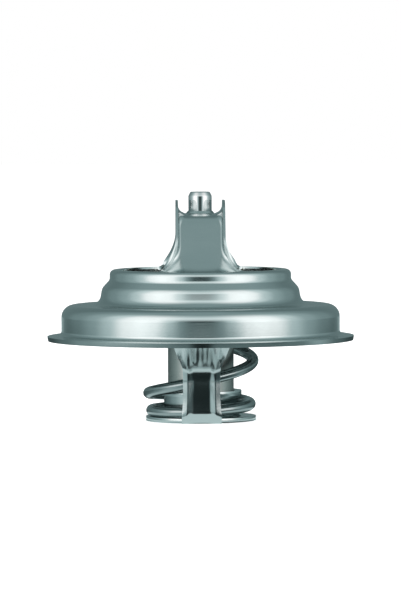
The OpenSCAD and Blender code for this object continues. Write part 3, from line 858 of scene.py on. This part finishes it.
class THERMOSTAT_OT_spring(bpy.types.Operator):
    """Wind the return spring between the base plate and the valve disc"""
    bl_idname = "thermostat.spring"
    bl_label = "Spring"

    def execute(self, context):
        wire_r = context.scene.thermostat_sizes.wire / MM / 2
        half = SPRING_TURNS / 2
        bm = bmesh.new()

        def place(column, row):
            u = mix(-half, half, row / SPRING_ROWS)
            here = coil_point(u, wire_r)
            ahead = (coil_point(u + COIL_NUDGE, wire_r) - coil_point(u - COIL_NUDGE, wire_r)).normalized()
            up = ahead.cross(Vector((here.x, here.y, 0)).normalized()).normalized()
            out = up.cross(ahead)
            turn = 2 * pi * column / SPRING_SIDES
            return here + (out * cos(turn) + up * sin(turn)) * wire_r

        formed_sheet(bm, SPRING_SIDES // 2, SPRING_ROWS, place)
        bmesh.ops.remove_doubles(bm, verts=bm.verts, dist=WELD)
        cut = [e for e in bm.edges if e.is_boundary]
        bmesh.ops.holes_fill(bm, edges=cut, sides=0)
        bmesh.ops.recalc_face_normals(bm, faces=bm.faces)
        finishes = context.scene.thermostat_finishes
        steel = metal_finish("spring_wire", finishes.spring, 0.19, cloud=0.15, speck=0.05, lines=0.0,
                             bump=0.02, cloud_scale=220.0, speck_scale=2600.0)
        piece = finished(bm, "return_spring", steel, HOUSING_BODY, "spring")
        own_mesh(piece)
        return {"FINISHED"}


# Valve and wax element

def seal_outline():
    """Section of the rubber ring: a clip round the disc's rim, with a face that meets the seat."""
    rim = Vector(DISC_PATH[2])
    along = (rim - Vector(DISC_PATH[1])).normalized()
    under = -left_of(along)
    top = rim + REST_GAP * (along - under)
    low = rim + REST_GAP * along + (DISC_SHEET + REST_GAP) * under
    face_in = SEAL_FACE - SEAL_LAND_IN * SEAT_DIRECTION
    return (
        top - SEAL_HOLD * along,
        top - SEAL_HOLD * along - SEAL_LIP * under,
        top - SEAL_STEP * along - under,
        SEAL_FACE + SEAT_DIRECTION - Vector((SEAL_LIP, 0)),
        SEAL_FACE + SEAT_DIRECTION,
        face_in,
        face_in - SEAL_ROUND * (SEAT_DIRECTION + Vector((0, 1))),
        low + SEAL_LIP * along + SEAL_ROUND * under,
        low + SEAL_LIP * under,
        low - SEAL_HOLD * along + SEAL_LIP * under,
        low - SEAL_HOLD * along,
        low,
        top)


class THERMOSTAT_OT_valve(bpy.types.Operator):
    """Make the valve: the dished disc and the rubber seal round its rim"""
    bl_idname = "thermostat.valve"
    bl_label = "Valve"

    def execute(self, context):
        sizes, finishes = context.scene.thermostat_sizes, context.scene.thermostat_finishes
        bm = bmesh.new()
        turned(bm, DISC_PATH, DISC_CORNERS)
        face_towards(bm, (LAND_R, 0, LAND_Z), (0, 0, 1))
        disc = finished(bm, "valve_plate", plated_steel(finishes), VALVE_BODY, "valve_disc")
        thickened(disc, DISC_SHEET * MM)
        edged(disc, sizes.sheet_edge)

        bm = bmesh.new()
        turned(bm, seal_outline(), closed=True)
        seal = finished(bm, "valve_seal_ring", rubber(finishes), VALVE_BODY, "valve_seal")
        edged(seal, sizes.turned_edge, angle=20)
        return {"FINISHED"}


class THERMOSTAT_OT_element(bpy.types.Operator):
    """Make the wax element: the can, its guide, the wiper and the piston"""
    bl_idname = "thermostat.element"
    bl_label = "Wax element"

    def execute(self, context):
        sizes, finishes = context.scene.thermostat_sizes, context.scene.thermostat_finishes
        bm = bmesh.new()
        turned(bm, CAN_PATH, CAN_CORNERS)
        face_towards(bm, (CAN_R, 0, (CAN_LOW_Z + LAND_Z) / 2), (1, 0, 0))
        steel = metal_finish("drawn_can", finishes.can, 0.3, cloud=0.12, speck=0.06, lines=0.16,
                             bump=0.03, cloud_scale=120.0, line_scale=3200.0, breaks=40.0)
        can = finished(bm, "element_can", steel, VALVE_BODY, "wax_can")
        thickened(can, CAN_WALL * MM)
        edged(can, sizes.turned_edge)

        def turned_piece(name, outline, corners, closed, material, body, node):
            bm = bmesh.new()
            turned(bm, outline, corners, closed=closed, steps=PIN_STEPS)
            edged(finished(bm, name, material, body, node), sizes.turned_edge)

        brass = metal_finish("turned_brass", finishes.guide, 0.28, cloud=0.12, speck=0.05, lines=0.2,
                             bump=0.03, line_scale=4200.0)
        turned_piece("guide_nose", GUIDE_OUTLINE, GUIDE_CORNERS, True, brass,
                     VALVE_BODY, "guide_body")
        turned_piece("wiper_ring", WIPER_OUTLINE, None, True, rubber(finishes),
                     VALVE_BODY, "piston_wiper")
        bright = metal_finish("ground_pin", finishes.piston, 0.06, cloud=0.05, speck=0.04, lines=0.06,
                              bump=0.01, line_scale=5200.0, speck_scale=3000.0)
        turned_piece("ground_piston", PISTON_OUTLINE, PISTON_CORNERS, False, bright,
                     HOUSING_BODY, "piston")
        return {"FINISHED"}


class THERMOSTAT_OT_inner_pieces(bpy.types.Operator):
    """Finish the hidden pieces of the wax element: boot, support washer and wax charge"""
    bl_idname = "thermostat.inner_pieces"
    bl_label = "Inner pieces"

    def execute(self, context):
        finishes = context.scene.thermostat_finishes
        plastic = soft_finish("moulded_plastic", finishes.washer, 0.35, bump=0.08, mottle=0.04)
        wax = soft_finish("pale_wax", finishes.wax, 0.45, speck_scale=900.0, mottle=0.12)
        for node, material in (("rubber_boot", rubber(finishes)), ("support_washer", plastic),
                               ("wax_charge", wax)):
            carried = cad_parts[node]
            carried.data.materials.clear()
            carried.data.materials.append(material)
        return {"FINISHED"}


# Studio

def shade_colour(level):
    """Teal in the dark parts of the studio and neutral in the bright ones."""
    return (*(level * mix(tint, 1.0, min(level, 1)) for tint in SHADE_TINT), 1)


def both_sides(levels):
    return [(-angle, level) for angle, level in reversed(levels[1:])] + list(levels)


def level_ramp(tree, azimuth, levels):
    """A colour ramp by azimuth, from -180 to 180 degrees."""
    ramp = add_node(tree, "ShaderNodeValToRGB", Fac=azimuth)
    ramp.color_ramp.interpolation = "EASE"
    stops = ramp.color_ramp.elements
    stops.remove(stops[1])
    stops[0].position, stops[0].color = 0, shade_colour(levels[0][1])
    for angle, level in levels[1:]:
        stops.new((angle + 180) / 360).color = shade_colour(level)
    return ramp.outputs["Color"]


def seen_or_mirrored(tree):
    """1 for the camera's rays and for those of gloss and glass, 0 for the rest."""
    rays = tree.nodes.new("ShaderNodeLightPath").outputs
    return maths(tree, "MAXIMUM", rays["Is Camera Ray"],
                 maths(tree, "MAXIMUM", rays["Is Glossy Ray"], rays["Is Transmission Ray"]))


def blank_stage_material(name):
    material = bpy.data.materials.new(name)
    material.use_nodes = True
    material.node_tree.nodes.clear()
    return material, material.node_tree


def shown(tree, shader, output="ShaderNodeOutputMaterial"):
    tree.links.new(shader.outputs[0], tree.nodes.new(output).inputs["Surface"])


class THERMOSTAT_OT_stage(bpy.types.Operator):
    """Lay the floor, set the soft lights and the surround that the metal shows, and place the camera"""
    bl_idname = "thermostat.stage"
    bl_label = "Stage"

    def execute(self, context):
        studio = context.scene.thermostat_studio
        self.world(context)
        self.floor(studio)
        self.surround(studio)
        self.lamps(context, studio)
        self.camera(context, studio)
        context.scene.view_settings.view_transform = "Standard"
        return {"FINISHED"}

    def world(self, context):
        world = bpy.data.worlds.new("studio_world")
        world.use_nodes = True
        tree = world.node_tree
        tree.nodes.clear()
        soft = add_node(tree, "ShaderNodeBackground", Color=WHITE, Strength=AMBIENT_LEVEL)
        white = add_node(tree, "ShaderNodeBackground", Color=WHITE, Strength=1.0)
        both = add_node(tree, "ShaderNodeMixShader", i0=seen_or_mirrored(tree), i1=soft.outputs[0],
                        i2=white.outputs[0])
        shown(tree, both, "ShaderNodeOutputWorld")
        context.scene.world = world

    def floor(self, studio):
        material, tree = blank_stage_material("pale_floor")
        paper = add_node(tree, "ShaderNodeBsdfDiffuse", Color=PAPER)
        glow = add_node(tree, "ShaderNodeEmission", Color=WHITE,
                        Strength=maths(tree, "MULTIPLY", seen_or_mirrored(tree), studio.floor_glow))
        shown(tree, add_node(tree, "ShaderNodeAddShader", i0=paper.outputs[0], i1=glow.outputs[0]))
        bm = bmesh.new()
        bmesh.ops.create_circle(bm, cap_ends=True, segments=96, radius=FLOOR_R,
                                matrix=Matrix.Translation((0, 0, FLOOR_Z)))
        placed_mesh(bm, "pale_floor", material)

    def surround(self, studio):
        """Softboxes and dark cards as one bowl, which only the metal's reflections see."""
        material, tree = blank_stage_material("studio_surround")
        place = tree.nodes.new("ShaderNodeTexCoord").outputs["Object"]
        x, y, z = add_node(tree, "ShaderNodeSeparateXYZ", Vector=place).outputs
        turn = maths(tree, "ARCTAN2", x, maths(tree, "MULTIPLY", y, -1.0))
        azimuth = maths(tree, "ADD", maths(tree, "DIVIDE", turn, 2 * pi), 0.5)
        flat = from_axis(tree, x, y)
        elevation = maths(tree, "ARCTAN2", z, flat)
        ground = maths(tree, "LESS_THAN", elevation, 0.0)
        behind = maths(tree, "DIVIDE", y, flat)
        aside = maths(tree, "ABSOLUTE", maths(tree, "DIVIDE", x, flat))

        def passed(value, band, within=1.0):
            share = add_node(tree, "ShaderNodeMapRange", option_interpolation_type="SMOOTHSTEP",
                             Value=value, From_Min=band[0], From_Max=band[1]).outputs[0]
            return maths(tree, "MULTIPLY", share, within)

        def ramp(levels):
            return level_ramp(tree, azimuth, levels)

        colour = ramp(both_sides(HORIZON_LEVELS))
        for share, other in (
                (passed(elevation, UPPER_BAND), ramp(both_sides(UPPER_LEVELS))),
                (passed(elevation, OVERHEAD_BAND), shade_colour(OVERHEAD_LEVEL)),
                (passed(behind, BACK_BAND, passed(elevation, BACK_CEILING)), shade_colour(BACK_LEVEL)),
                (passed(flat, FLOOR_BAND, ground), ramp(both_sides(FLOOR_LEVELS))),
                (passed(flat, GROUND_BAND, ground), ramp(GROUND_LEVELS)),
                (passed(flat, RIM_OUTSIDE, passed(flat, RIM_INSIDE, passed(aside, RIM_ASIDE, ground))),
                 shade_colour(RIM_LEVEL)),
                (passed(flat, FOOT_OUTSIDE, passed(flat, FOOT_INSIDE, ground)),
                 shade_colour(FOOT_LEVEL))):
            colour = mixed_colour(tree, share, colour, other)
        shown(tree, add_node(tree, "ShaderNodeEmission", Color=colour, Strength=studio.surround_level))

        bm = bmesh.new()
        bmesh.ops.create_uvsphere(bm, u_segments=96, v_segments=48, radius=SURROUND_R)
        bmesh.ops.bisect_plane(bm, geom=bm.verts[:] + bm.edges[:] + bm.faces[:], dist=1e-6,
                               plane_co=(0, 0, FLOOR_Z + CARD_LIFT), plane_no=(0, 0, -1),
                               clear_outer=True)
        rim = [e for e in bm.edges if e.is_boundary]
        for v in verts_of(bmesh.ops.extrude_edge_only(bm, edges=rim)["geom"]):
            v.co.xy = v.co.xy.normalized() * CARD_HOLE_R
        surround = placed_mesh(bm, "studio_surround", material)
        surround.visible_camera = False
        surround.visible_diffuse = False
        surround.visible_transmission = False
        surround.visible_shadow = False

    def lamps(self, context, studio):
        """Square lamps: each one's azimuth and elevation in degrees, distance and size."""
        for name, azimuth, elevation, distance, size in (("left_softbox", -50, 28, 0.6, 0.4),
                                                         ("right_softbox", 50, 28, 0.6, 0.4),
                                                         ("top_softbox", 180, 70, 0.7, 0.5)):
            lamp = bpy.data.lights.new(name, "AREA")
            lamp.shape = "SQUARE"
            lamp.size = size
            lamp.energy = studio.lamp_power
            holder = bpy.data.objects.new(name, lamp)
            back = away(radians(azimuth), radians(elevation))
            holder.location = back * distance
            holder.rotation_mode = "QUATERNION"
            holder.rotation_quaternion = back.to_track_quat("Z", "Y")
            holder.visible_glossy = False
            context.scene.collection.objects.link(holder)

    def camera(self, context, studio):
        data = bpy.data.cameras.new("photo_camera")
        data.sensor_fit = "AUTO"
        data.sensor_width = 36.0
        tall = max(PHOTO_SIZE) / studio.pixels_per_metre
        data.lens = data.sensor_width * studio.camera_distance / tall
        data.clip_start, data.clip_end = 0.01, 20
        camera = bpy.data.objects.new("photo_camera", data)
        back = away(studio.camera_azimuth, studio.camera_elevation)
        camera.location = Vector((0, 0, studio.target_height)) + back * studio.camera_distance
        camera.rotation_mode = "QUATERNION"
        level = (-back).to_track_quat("-Z", "Y")
        camera.rotation_quaternion = level @ Quaternion((0, 0, 1), studio.camera_roll)
        context.scene.collection.objects.link(camera)
        context.scene.camera = camera


class THERMOSTAT_PT_pieces(bpy.types.Panel):
    """Lists the pieces, their sizes, finishes and the studio"""
    bl_idname = "THERMOSTAT_PT_pieces"
    bl_label = "Engine thermostat"
    bl_space_type = "VIEW_3D"
    bl_region_type = "UI"
    bl_category = "Thermostat"

    def draw(self, context):
        for operator in OPERATORS:
            self.layout.operator(operator.bl_idname)
        for group in (context.scene.thermostat_sizes, context.scene.thermostat_finishes,
                      context.scene.thermostat_studio):
            for name in group.bl_rna.properties.keys():
                if name not in ("rna_type", "name"):
                    self.layout.prop(group, name)


OPERATORS = (THERMOSTAT_OT_housing, THERMOSTAT_OT_lower_frame, THERMOSTAT_OT_spring,
             THERMOSTAT_OT_valve, THERMOSTAT_OT_element, THERMOSTAT_OT_inner_pieces,
             THERMOSTAT_OT_stage)
CLASSES = (ThermostatSizes, ThermostatFinishes, ThermostatStudio, *OPERATORS, THERMOSTAT_PT_pieces)


def register():
    for made in CLASSES:
        bpy.utils.register_class(made)
    bpy.types.Scene.thermostat_sizes = PointerProperty(type=ThermostatSizes)
    bpy.types.Scene.thermostat_finishes = PointerProperty(type=ThermostatFinishes)
    bpy.types.Scene.thermostat_studio = PointerProperty(type=ThermostatStudio)


def unregister():
    del bpy.types.Scene.thermostat_sizes
    del bpy.types.Scene.thermostat_finishes
    del bpy.types.Scene.thermostat_studio
    for made in reversed(CLASSES):
        bpy.utils.unregister_class(made)


def main():
    register()
    bpy.ops.thermostat.housing()
    bpy.ops.thermostat.lower_frame()
    bpy.ops.thermostat.spring()
    bpy.ops.thermostat.valve()
    bpy.ops.thermostat.element()
    bpy.ops.thermostat.inner_pieces()
    bpy.ops.thermostat.stage()


if __name__ == "__main__":
    main()
